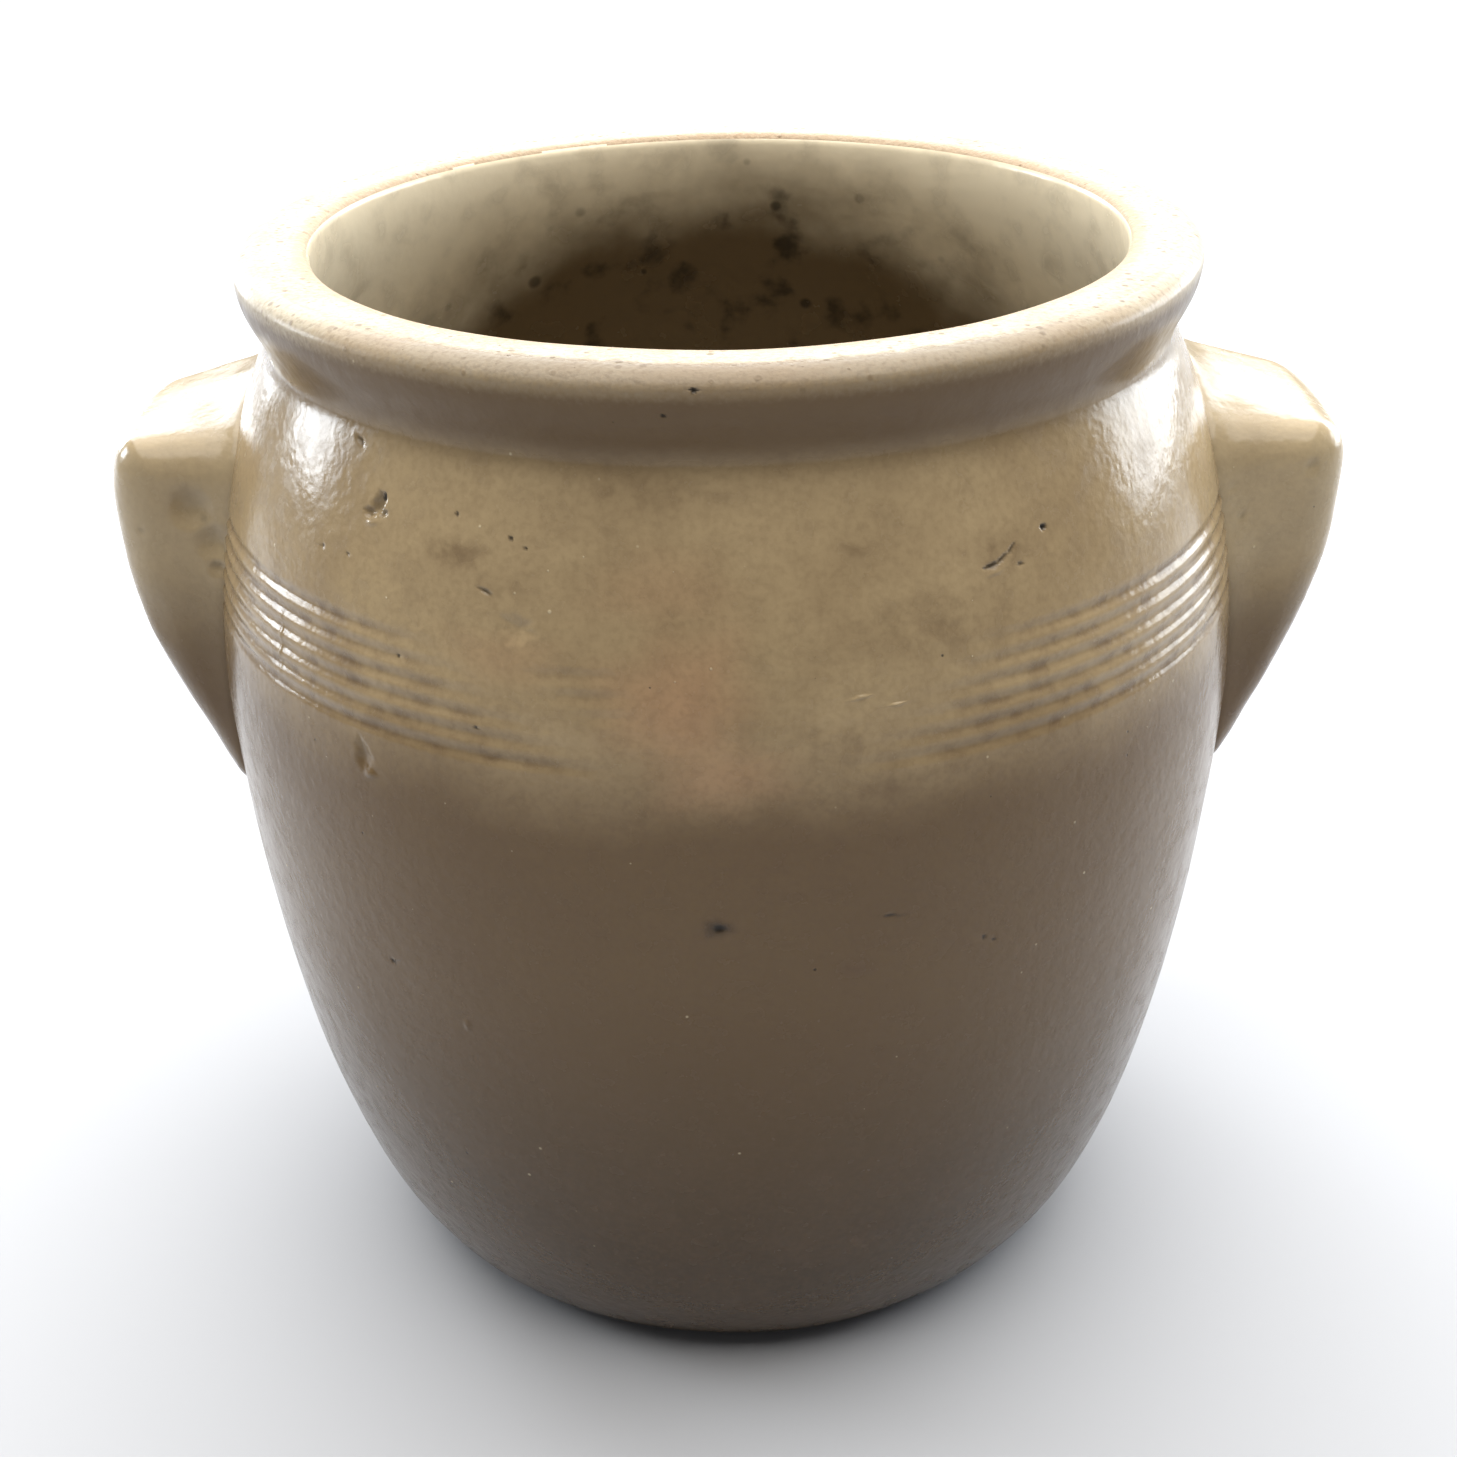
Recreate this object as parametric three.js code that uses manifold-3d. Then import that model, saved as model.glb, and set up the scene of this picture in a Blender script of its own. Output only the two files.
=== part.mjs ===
// A stoneware crock: one wheel-thrown pot and the two clay lugs luted to its sides.
// Millimetres, +Z up, +X towards the right lug, origin at the centre of the foot's underside.
import * as THREE from "three";
import { mergeVertices } from "three/addons/utils/BufferGeometryUtils.js";
import Module from "manifold-3d";

const wasm = await Module();
wasm.setup();

// Driving dimensions of the pot.
const HEIGHT = 290;
const FOOT_RADIUS = 92;
const FOOT_ROUND = 2.5;
const BELLY_RADIUS = 138.2;
const BELLY_HEIGHT = 172;
const NECK_RADIUS = 117.6;
const NECK_HEIGHT = 267;
const RIM_RADIUS = 123.2;
const RIM_EDGE_DROP = 4; // how far the rim's widest line lies under the lip
const LIP_OUTER_RADIUS = 117;
const LIP_INNER_RADIUS = 107.5;
const MOUTH_RADIUS = 104.5;
const WALL_THICKNESS = 9.5;
const FLOOR_THICKNESS = 11;
const FLOOR_RADIUS = 82;
const SIDES = 48;

// Driving dimensions of the combed band.
const GROOVE_COUNT = 6;
const GROOVE_PITCH = 4.6;
const GROOVE_DEPTH = 1.1;
const TOP_GROOVE_HEIGHT = 225.7;

// Driving dimensions of a lug.
const LUG_REACH = 162;
const LUG_BREADTH = 64;
const LUG_EDGE_ROUND = 8;
const LUG_ROOT_RADIUS = 108; // the outline starts inside the wall, and the wall then trims it
const LUG_TOP_HEIGHT = 250;
const LUG_CORNER_HEIGHT = 242;
const LUG_WIDEST_HEIGHT = 220;
const LUG_HEEL_HEIGHT = 152;
const LUG_HEEL_REACH = 139;
const JOINT_GAP = 0.3;
const HOLLOW_CENTRE = new THREE.Vector3(142, 0, 160);
const HOLLOW_RADII = new THREE.Vector3(17, 21, 40);

const point = (radius, height) => new THREE.Vector2(radius, height);

// A cubic Bezier as a list of points, without its first one.
function sweep(from, leave, arrive, to, steps) {
  return new THREE.CubicBezierCurve(from, leave, arrive, to)
    .getPoints(steps)
    .slice(1);
}

// A quarter of an ellipse as a list of points, without its first one.
function quarter(centre, radii, startAngle, endAngle, steps) {
  return new THREE.EllipseCurve(
    centre.x, centre.y, radii.x, radii.y, startAngle, endAngle, startAngle > endAngle,
  )
    .getPoints(steps)
    .slice(1);
}

const footEdge = point(FOOT_RADIUS + FOOT_ROUND * 0.6, FOOT_ROUND * 0.4);
const belly = point(BELLY_RADIUS, BELLY_HEIGHT);
const neck = point(NECK_RADIUS, NECK_HEIGHT);
const rimEdge = point(RIM_RADIUS, HEIGHT - RIM_EDGE_DROP);

const lowerWall = [footEdge, point(120.5, 13.5), point(135, 98), belly];
const shoulder = [belly, point(138.9, 212), point(128.5, 246), neck];

// Radius of the smooth shoulder at a height, found by halving its curve.
function shoulderRadius(height) {
  const curve = new THREE.CubicBezierCurve(...shoulder);
  let low = 0;
  let high = 1;
  for (let step = 0; step < 24; step += 1) {
    const middle = (low + high) / 2;
    if (curve.getPoint(middle).y < height) low = middle;
    else high = middle;
  }
  return curve.getPoint(low).x;
}

// The shoulder with the comb's grooves: a crest at the wall's own radius between two grooves.
function combedShoulder() {
  const halfPitch = GROOVE_PITCH / 2;
  const bandFoot = TOP_GROOVE_HEIGHT - (GROOVE_COUNT - 0.5) * GROOVE_PITCH;
  const bandHead = TOP_GROOVE_HEIGHT + halfPitch;
  const smooth = sweep(...shoulder, 12);
  const band = [];
  for (let i = 0; i <= GROOVE_COUNT * 2; i += 1) {
    const height = bandFoot + i * halfPitch;
    const depth = i % 2 ? GROOVE_DEPTH : 0;
    band.push(point(shoulderRadius(height) - depth, height));
  }
  return [
    ...smooth.filter((p) => p.y < bandFoot - halfPitch),
    ...band,
    ...smooth.filter((p) => p.y > bandHead + halfPitch),
  ];
}

// Outside of the pot from the foot up to the neck.
function outerWall(shoulderPoints) {
  return [
    point(FOOT_RADIUS, 0),
    footEdge,
    ...sweep(...lowerWall, 9),
    ...shoulderPoints,
  ];
}

// Neck, bead, flat lip and the inner edge down to the mouth.
function rim() {
  const lipHeight = HEIGHT - RIM_EDGE_DROP;
  const innerRound = LIP_INNER_RADIUS - MOUTH_RADIUS;
  return [
    ...sweep(neck, point(NECK_RADIUS - 0.8, 272), point(RIM_RADIUS, 277), rimEdge, 5),
    ...quarter(
      point(LIP_OUTER_RADIUS, lipHeight),
      point(RIM_RADIUS - LIP_OUTER_RADIUS, RIM_EDGE_DROP),
      0, Math.PI / 2, 4,
    ),
    point(LIP_INNER_RADIUS, HEIGHT),
    ...quarter(
      point(LIP_INNER_RADIUS, HEIGHT - innerRound),
      point(innerRound, innerRound),
      Math.PI / 2, Math.PI, 3,
    ),
  ];
}

// Inside of the pot from the mouth down to the floor.
function innerWall() {
  const mouth = point(MOUTH_RADIUS, HEIGHT - (LIP_INNER_RADIUS - MOUTH_RADIUS));
  const innerBelly = point(BELLY_RADIUS - WALL_THICKNESS, BELLY_HEIGHT);
  return [
    ...sweep(mouth, point(104, 265), point(129, 230), innerBelly, 8),
    ...sweep(
      innerBelly, point(127.5, 100), point(111, FLOOR_THICKNESS),
      point(FLOOR_RADIUS, FLOOR_THICKNESS), 8,
    ),
  ];
}

function crockBodyGeometry() {
  return new THREE.LatheGeometry(
    [
      point(0, 0),
      ...outerWall(combedShoulder()),
      ...rim(),
      ...innerWall(),
      point(0, FLOOR_THICKNESS),
    ],
    SIDES,
  ).rotateX(Math.PI / 2);
}

// The room that the pot takes up, with the joint's gap round it, to trim the lugs to the wall.
function wallRoomGeometry() {
  const outside = outerWall(sweep(...shoulder, 24)).map((p) => point(p.x + JOINT_GAP, p.y));
  return new THREE.LatheGeometry(
    [
      point(0, 0),
      ...outside,
      point(NECK_RADIUS + JOINT_GAP, HEIGHT),
      point(0, HEIGHT),
    ],
    SIDES,
  ).rotateX(Math.PI / 2);
}

// Side view of the right lug: a shelf that falls away from the neck, a round corner,
// and a long sweep back into the belly.
function lugOutline() {
  const outline = new THREE.Shape();
  outline.moveTo(LUG_ROOT_RADIUS, LUG_TOP_HEIGHT + 2);
  outline.lineTo(LUG_REACH - 36, LUG_TOP_HEIGHT);
  outline.lineTo(LUG_REACH - 12, LUG_CORNER_HEIGHT);
  outline.bezierCurveTo(
    LUG_REACH - 4, LUG_CORNER_HEIGHT - 3, LUG_REACH, LUG_WIDEST_HEIGHT + 12,
    LUG_REACH, LUG_WIDEST_HEIGHT,
  );
  outline.bezierCurveTo(
    LUG_REACH, LUG_WIDEST_HEIGHT - 24, LUG_HEEL_REACH + 12, LUG_HEEL_HEIGHT + 18,
    LUG_HEEL_REACH, LUG_HEEL_HEIGHT,
  );
  outline.lineTo(LUG_ROOT_RADIUS, LUG_HEEL_HEIGHT - 22);
  outline.closePath();
  return outline;
}

function solid(geometry) {
  const bare = geometry.index ? geometry.toNonIndexed() : geometry.clone();
  bare.deleteAttribute("normal");
  bare.deleteAttribute("uv");
  const merged = mergeVertices(bare, 1e-3);
  return new wasm.Manifold(
    new wasm.Mesh({
      numProp: 3,
      vertProperties: merged.attributes.position.array,
      triVerts: new Uint32Array(merged.index.array),
    }),
  );
}

function geometryOf(manifold) {
  const mesh = manifold.getMesh();
  return new THREE.BufferGeometry()
    .setAttribute("position", new THREE.BufferAttribute(mesh.vertProperties, 3))
    .setIndex(new THREE.BufferAttribute(mesh.triVerts, 1));
}

// The right lug: the outline given its breadth, hollowed from below for the fingers,
// and trimmed to the wall.
function lugGeometry() {
  const block = new THREE.ExtrudeGeometry(lugOutline(), {
    depth: LUG_BREADTH - 2 * LUG_EDGE_ROUND,
    curveSegments: 7,
    bevelThickness: LUG_EDGE_ROUND,
    bevelSize: LUG_EDGE_ROUND,
    bevelOffset: -LUG_EDGE_ROUND,
    bevelSegments: 3,
  })
    .translate(0, 0, LUG_EDGE_ROUND - LUG_BREADTH / 2)
    .rotateX(Math.PI / 2);
  const hollow = new THREE.SphereGeometry(1, 20, 14)
    .scale(...HOLLOW_RADII.toArray())
    .translate(...HOLLOW_CENTRE.toArray());
  return geometryOf(solid(block).subtract(solid(wallRoomGeometry())).subtract(solid(hollow)));
}

// The left lug is the right one turned half round the pot's axis.
function lug(name, turn, colour) {
  const mesh = new THREE.Mesh(
    lugGeometry(),
    new THREE.MeshStandardMaterial({ color: colour, roughness: 0.3, metalness: 0 }),
  );
  mesh.name = name;
  mesh.rotation.z = turn;
  return mesh;
}

const crockBody = new THREE.Mesh(
  crockBodyGeometry(),
  new THREE.MeshStandardMaterial({ color: 0x9c8b68, roughness: 0.3, metalness: 0 }),
);
crockBody.name = "crock_body";

const crock = new THREE.Group();
crock.name = "stoneware_crock";
crock.add(
  crockBody,
  lug("left_lug_handle", Math.PI, 0xa8966f),
  lug("right_lug_handle", 0, 0xa8966f),
);

export default crock;
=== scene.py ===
"""A wheel-thrown stoneware crock with a combed shoulder and two luted lugs, dressed over its frame."""

import logging
import math
from collections.abc import Callable, Sequence
from dataclasses import dataclass, field, replace
from enum import Enum

import bpy
import numpy as np
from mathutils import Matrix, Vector


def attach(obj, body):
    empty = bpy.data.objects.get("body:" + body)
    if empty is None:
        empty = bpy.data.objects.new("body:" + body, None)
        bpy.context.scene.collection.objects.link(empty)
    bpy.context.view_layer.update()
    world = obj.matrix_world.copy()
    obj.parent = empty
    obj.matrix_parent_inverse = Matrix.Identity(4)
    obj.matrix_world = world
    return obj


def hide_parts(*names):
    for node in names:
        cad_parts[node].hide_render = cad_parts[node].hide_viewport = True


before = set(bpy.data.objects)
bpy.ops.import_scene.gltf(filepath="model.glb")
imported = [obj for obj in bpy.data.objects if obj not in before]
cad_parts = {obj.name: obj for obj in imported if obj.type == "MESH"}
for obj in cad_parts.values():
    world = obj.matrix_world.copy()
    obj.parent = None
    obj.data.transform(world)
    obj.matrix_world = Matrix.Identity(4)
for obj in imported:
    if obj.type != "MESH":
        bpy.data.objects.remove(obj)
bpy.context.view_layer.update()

log = logging.getLogger("crock")

MM = 0.001
WELD = 0.02 * MM
SEED_PLANE = 1 * MM
LEAST_WEIGHT = 1e-4

Point = tuple[float, float]
Colour = tuple[float, float, float, float]
Value = float | Colour | bpy.types.NodeSocket


class Side(Enum):
    """The side of the pot that a lug stands on, as the sign of its X."""

    LEFT = -1
    RIGHT = 1


class Edge(Enum):
    """How a mark's floor meets the surface round it, as the power of its falloff."""

    SOFT = 2.0
    CRISP = 0.6


def srgb(red: int, green: int, blue: int) -> Colour:
    """Turn a display colour, 0 to 255, into the linear colour that a shader takes."""
    linear = [((c / 255 + 0.055) / 1.055) ** 2.4 if c > 10 else c / 255 / 12.92 for c in (red, green, blue)]
    return (linear[0], linear[1], linear[2], 1.0)


def smoothstep(low: float, high: float, value: np.ndarray) -> np.ndarray:
    """Rise smoothly from 0 at low to 1 at high, or fall where high is under low."""
    t = np.clip((value - low) / (high - low), 0, 1)
    return t * t * (3 - 2 * t)


def bezier(start: Point, leave: Point, arrive: Point, end: Point, steps: int) -> list[Point]:
    """Sample a cubic Bezier curve.

    Args:
        start: First point.
        leave: Control point that the curve leaves towards.
        arrive: Control point that the curve arrives from.
        end: Last point.
        steps: Number of steps along the curve.

    Returns:
        The points after the first one.
    """
    t = np.linspace(0, 1, steps + 1)[1:, None]
    corners = [np.array(corner) for corner in (start, leave, arrive, end)]
    shares = ((1 - t) ** 3, 3 * (1 - t) ** 2 * t, 3 * (1 - t) * t * t, t**3)
    curve = sum(share * corner for share, corner in zip(shares, corners))
    return [(float(x), float(y)) for x, y in curve]


def arc(centre: Point, radii: Point, start: float, end: float, steps: int) -> list[Point]:
    """Sample part of an ellipse between two angles in degrees, and give the points after the first."""
    angles = np.radians(np.linspace(start, end, steps + 1)[1:])
    return [(centre[0] + radii[0] * math.cos(a), centre[1] + radii[1] * math.sin(a)) for a in angles]


def clear_selection() -> None:
    """Go back to object mode and select nothing."""
    if bpy.context.object and bpy.context.object.mode != "OBJECT":
        bpy.ops.object.mode_set(mode="OBJECT")
    bpy.ops.object.select_all(action="DESELECT")


def take(piece: bpy.types.Object) -> None:
    """Make one piece the only selected one.

    Args:
        piece: The piece to select.
    """
    clear_selection()
    piece.select_set(True)
    bpy.context.view_layer.objects.active = piece


def draw_chain(name: str, places: Sequence[Vector]) -> bpy.types.Object:
    """Draw a chain of edges by extruding one vertex from place to place.

    Args:
        name: Name of the new piece.
        places: The places that the chain passes through, in order.

    Returns:
        The piece, a bare chain whose object sits at the origin.
    """
    clear_selection()
    bpy.ops.mesh.primitive_plane_add(size=SEED_PLANE, location=places[0])
    bpy.ops.object.mode_set(mode="EDIT")
    bpy.ops.mesh.merge(type="CENTER")
    for here, there in zip(places, places[1:]):
        bpy.ops.mesh.extrude_vertices_move(TRANSFORM_OT_translate={"value": there - here})
    bpy.ops.object.mode_set(mode="OBJECT")
    bpy.ops.object.transform_apply(location=True, rotation=True, scale=True)
    piece = bpy.context.object
    piece.name = piece.data.name = name
    return piece


def close_up(piece: bpy.types.Object) -> None:
    """Merge a shell's doubles and turn its faces outwards.

    Args:
        piece: The shell.
    """
    take(piece)
    bpy.ops.object.mode_set(mode="EDIT")
    bpy.ops.mesh.select_all(action="SELECT")
    bpy.ops.mesh.remove_doubles(threshold=WELD)
    bpy.ops.mesh.normals_make_consistent(inside=False)
    bpy.ops.object.mode_set(mode="OBJECT")


def throw_on_wheel(piece: bpy.types.Object, steps: int) -> None:
    """Spin a profile round the pot's axis into a closed shell.

    Args:
        piece: A chain in the XZ plane that starts and ends on the axis.
        steps: Number of steps in the whole turn.
    """
    take(piece)
    bpy.ops.object.mode_set(mode="EDIT")
    bpy.ops.mesh.select_all(action="SELECT")
    bpy.ops.mesh.spin(steps=steps, angle=math.tau, center=(0, 0, 0), axis=(0, 0, 1))
    bpy.ops.object.mode_set(mode="OBJECT")
    close_up(piece)


def apply_modifier(piece: bpy.types.Object, kind: str, **settings: object) -> None:
    """Add a modifier, set it up and apply it.

    Args:
        piece: The piece to change.
        kind: The modifier's type, such as SMOOTH or BOOLEAN.
        **settings: The modifier's values.
    """
    take(piece)
    modifier = piece.modifiers.new(kind, kind)
    for name, value in settings.items():
        setattr(modifier, name, value)
    bpy.ops.object.modifier_apply(modifier=modifier.name)


def places_of(piece: bpy.types.Object) -> np.ndarray:
    """Give a mesh's vertices as an array with a row each.

    Args:
        piece: The piece whose mesh is read.

    Returns:
        The vertices' places, in metres.
    """
    flat = np.empty(len(piece.data.vertices) * 3)
    piece.data.vertices.foreach_get("co", flat)
    return flat.reshape(-1, 3)


def press(
    piece: bpy.types.Object, weights: np.ndarray, depth: float, direction: str = "NORMAL"
) -> None:
    """Sink a surface, as a tool or a thumb presses clay.

    Args:
        piece: The piece to press.
        weights: How much of the depth each vertex takes, 0 to 1.
        depth: How far a weight of 1 sinks; a negative depth stands proud.
        direction: The way against which it sinks, the surface's normals or an axis.
    """
    group = piece.vertex_groups.new(name="pressed")
    for index in np.flatnonzero(weights > LEAST_WEIGHT):
        group.add([int(index)], float(weights[index]), "REPLACE")
    apply_modifier(
        piece, "DISPLACE", vertex_group="pressed", direction=direction, strength=-depth, mid_level=0.0
    )
    piece.vertex_groups.clear()


def make_uneven(piece: bpy.types.Object, spacing: float, swing: float) -> None:
    """Give a thrown or modelled surface the soft unevenness of hand work.

    Args:
        piece: The piece to change.
        spacing: Rough distance between two swells.
        swing: Distance from the lowest to the highest point.
    """
    clouds = bpy.data.textures.new(f"{piece.name}_swell", "CLOUDS")
    clouds.noise_scale = spacing
    clouds.noise_depth = 1
    apply_modifier(
        piece, "DISPLACE", texture=clouds, texture_coords="LOCAL", strength=swing, mid_level=0.5
    )


def subdivide_where(piece: bpy.types.Object, chosen: np.ndarray, cuts: int) -> None:
    """Subdivide some faces.

    Args:
        piece: The piece to change.
        chosen: A true or false value for each face.
        cuts: Number of cuts along each edge.
    """
    take(piece)
    bpy.ops.object.mode_set(mode="EDIT")
    bpy.ops.mesh.select_mode(type="FACE")
    bpy.ops.mesh.select_all(action="DESELECT")
    bpy.ops.object.mode_set(mode="OBJECT")
    piece.data.polygons.foreach_set("select", chosen)
    bpy.ops.object.mode_set(mode="EDIT")
    bpy.ops.mesh.subdivide(number_cuts=cuts)
    bpy.ops.mesh.select_mode(type="VERT")
    bpy.ops.object.mode_set(mode="OBJECT")


def centres_of(piece: bpy.types.Object) -> np.ndarray:
    """Give the middles of a mesh's faces as an array with a row each.

    Args:
        piece: The piece whose mesh is read.

    Returns:
        The faces' middles, in metres.
    """
    flat = np.empty(len(piece.data.polygons) * 3)
    piece.data.polygons.foreach_get("center", flat)
    return flat.reshape(-1, 3)


def paint(piece: bpy.types.Object, name: str, amounts: np.ndarray) -> None:
    """Store an amount for each vertex, 0 to 1, for the piece's material to read."""
    attribute = piece.data.attributes.new(name, "FLOAT", "POINT")
    attribute.data.foreach_set("value", np.clip(amounts, 0, 1).astype(np.float32))


@dataclass(frozen=True)
class Mark:
    """A flaw, dent or stain on the pot's wall. Sizes are in millimetres.

    The azimuth is in degrees from the front towards +X, and the turn is in degrees from level.
    """

    name: str
    azimuth: float
    height: float
    breadth: float
    tall: float
    depth: float = 0.0
    grime: float = 0.0
    turn: float = 0.0
    edge: Edge = Edge.SOFT

    def reach(self, places: np.ndarray, margin: float = 1.0) -> np.ndarray:
        """Say how strongly each place lies in the mark.

        Args:
            places: Places on the pot, in metres.
            margin: Factor on the mark's size.

        Returns:
            1 in the mark's middle, falling to 0 at its edge.
        """
        radius = np.hypot(places[:, 0], places[:, 1])
        angle = np.arctan2(places[:, 0], -places[:, 1]) - math.radians(self.azimuth)
        angle = (angle + math.pi) % math.tau - math.pi
        across = radius * angle / MM
        up = places[:, 2] / MM - self.height
        cosine = math.cos(math.radians(self.turn))
        sine = math.sin(math.radians(self.turn))
        along = (across * cosine + up * sine) * 2 / self.breadth / margin
        over = (up * cosine - across * sine) * 2 / self.tall / margin
        round_it = np.arctan2(over, along)
        ragged = 1 + 0.2 * np.sin(3 * round_it + self.azimuth) + 0.16 * np.sin(7 * round_it + self.height)
        return np.clip(1 - (along**2 + over**2) * ragged, 0, 1) ** self.edge.value


# Flaws that are pressed into the wall or stand proud of it, from the rim downwards.
FLAWS = (
    Mark("rim_pit", -2.7, 286.4, 1.7, 1.4, 0.7, 0.9, 0, Edge.CRISP),
    Mark("rim_pinhole", -5.8, 280.7, 1.1, 1.0, 0.4, 0.7, 0, Edge.CRISP),
    Mark("neck_nick", -43.7, 263.9, 4.5, 1.8, 0.7, 0.4, -25),
    Mark("shoulder_chip", -38.9, 252.4, 3.4, 6.0, 1.3, 0.2, -25, Edge.CRISP),
    Mark("chip_corner", -39.8, 250.4, 4.4, 2.4, 1.1, 0.1, 15, Edge.CRISP),
    Mark("chip_hole", -38.3, 254.0, 1.8, 2.6, 1.0, 0.9, -20, Edge.CRISP),
    Mark("chip_flake", -37.9, 250.9, 2.6, 1.6, 0.7, 0.3, 40, Edge.CRISP),
    Mark("chip_lip", -39.2, 248.4, 5.4, 1.8, -0.4, 0.0, 15),
    Mark("pinhole_a", -28.4, 254.5, 1.1, 1.0, 0.4, 0.7, 0, Edge.CRISP),
    Mark("pinhole_b", -21.9, 251.3, 1.2, 1.0, 0.4, 0.7, 0, Edge.CRISP),
    Mark("pinhole_c", -20.2, 249.7, 1.1, 1.0, 0.4, 0.6, 0, Edge.CRISP),
    Mark("pinhole_d", -46.2, 239.5, 1.1, 1.0, 0.4, 0.6, 0, Edge.CRISP),
    Mark("pinhole_e", -42.1, 240.1, 1.1, 1.0, 0.3, 0.5, 0, Edge.CRISP),
    Mark("pinhole_f", -34.0, 221.1, 1.1, 1.0, 0.3, 0.6, 0, Edge.CRISP),
    Mark("pinhole_g", -24.6, 209.2, 1.1, 1.0, 0.3, 0.6, 0, Edge.CRISP),
    Mark("right_pinhole", 34.2, 246.8, 1.9, 1.5, 0.7, 0.9, 0, Edge.CRISP),
    Mark("gash", 27.2, 241.7, 4.6, 1.2, 0.7, 0.45, 8, Edge.CRISP),
    Mark("gash_middle", 28.5, 242.6, 4.0, 1.1, 0.6, 0.35, 28, Edge.CRISP),
    Mark("gash_tail", 29.8, 244.2, 3.4, 1.0, 0.5, 0.3, 46, Edge.CRISP),
    Mark("gash_fleck", 30.6, 240.6, 1.8, 1.0, 0.4, 0.4, 5, Edge.CRISP),
    Mark("gash_lip", 27.6, 240.2, 7.0, 1.4, -0.3, 0.0, 10),
    Mark("stained_nick", -24.2, 239.6, 5.5, 1.5, 0.5, 0.4, -18),
    Mark("thumb_dent", -20.7, 232.6, 11.0, 8.0, 0.8),
    Mark("glaze_run", -52.5, 212.5, 1.4, 26.0, -0.25),
    Mark("pale_fleck_a", 12.4, 218.6, 6.0, 1.3, -0.35, 0.0, 8),
    Mark("pale_fleck_b", 16.0, 216.0, 5.0, 1.2, -0.35, 0.0, 4),
    Mark("tear_dent", -38.4, 194.6, 6.5, 10.0, 0.9, 0.05, 12),
    Mark("tear_lip", -37.4, 190.4, 5.0, 3.0, -0.5, 0.0, 15),
    Mark("iron_ring", -1.5, 164.1, 9.5, 6.5, -0.25, 0.35),
    Mark("iron_pit", -1.3, 164.0, 5.2, 3.4, 0.7, 0.95),
    Mark("hair_crack", 15.4, 163.2, 9.0, 0.9, 0.35, 0.6, -8),
    Mark("low_pinhole_a", 25.6, 150.6, 1.2, 1.1, 0.4, 0.8, 0, Edge.CRISP),
    Mark("low_pinhole_b", 26.8, 148.8, 1.1, 1.0, 0.4, 0.7, 0, Edge.CRISP),
    Mark("left_low_pinhole", -38.3, 135.7, 1.5, 1.3, 0.5, 0.9, 0, Edge.CRISP),
    Mark("pale_nick", -29.1, 124.2, 2.4, 4.6, -0.4, 0.0, -15),
)

# Soft brown stains in the glaze, and a painted shadow across the front of the belly.
STAINS_AND_SHADOW = (
    Mark("shoulder_stain", -28.6, 246.4, 30, 10, grime=0.5),
    Mark("shoulder_stain_tail", -23.0, 241.0, 22, 9, grime=0.3),
    Mark("gash_stain", 28.0, 245.0, 24, 12, grime=0.55),
    Mark("round_stain", 13.3, 249.4, 7, 4, grime=0.55),
    Mark("upper_patch", 21.0, 232.0, 46, 26, grime=0.32),
    Mark("neck_patch", -8.0, 262.0, 60, 12, grime=0.25),
    Mark("grey_patch", 10.0, 209.0, 26, 16, grime=0.35),
    Mark("band_streak", 16.5, 197.0, 34, 7, grime=0.6, turn=6),
    Mark("band_corner", -30.0, 207.0, 60, 10, grime=0.45, turn=6),
    Mark("iron_halo", -1.5, 164.0, 15, 10, grime=0.55),
    Mark("crack_halo", 12.0, 163.0, 30, 6, grime=0.35),
    Mark("right_spot_a", 31.7, 167.6, 6, 4, grime=0.6),
    Mark("right_spot_b", 35.8, 158.1, 4, 3, grime=0.6),
    Mark("smudge", 12.1, 149.4, 12, 5, grime=0.7),
    Mark("low_spot", 14.4, 53.8, 8, 5, grime=0.6),
    # Painted shadow: a soft dark patch across the front of the belly.
    Mark("belly_shadow", 4.0, 180.0, 60, 36, grime=0.28),
)

# Pinkish bare-looking patches where the comb's stroke was wiped away.
BLUSHES = (
    Mark("wiped_patch", -4.5, 218.0, 46, 46, grime=0.9),
    Mark("wiped_foot", -1.0, 203.0, 44, 26, grime=0.7),
    Mark("upper_blush", -6.0, 243.0, 44, 22, grime=0.35),
    Mark("side_blush", -22.0, 226.0, 40, 16, grime=0.35),
)


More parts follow.
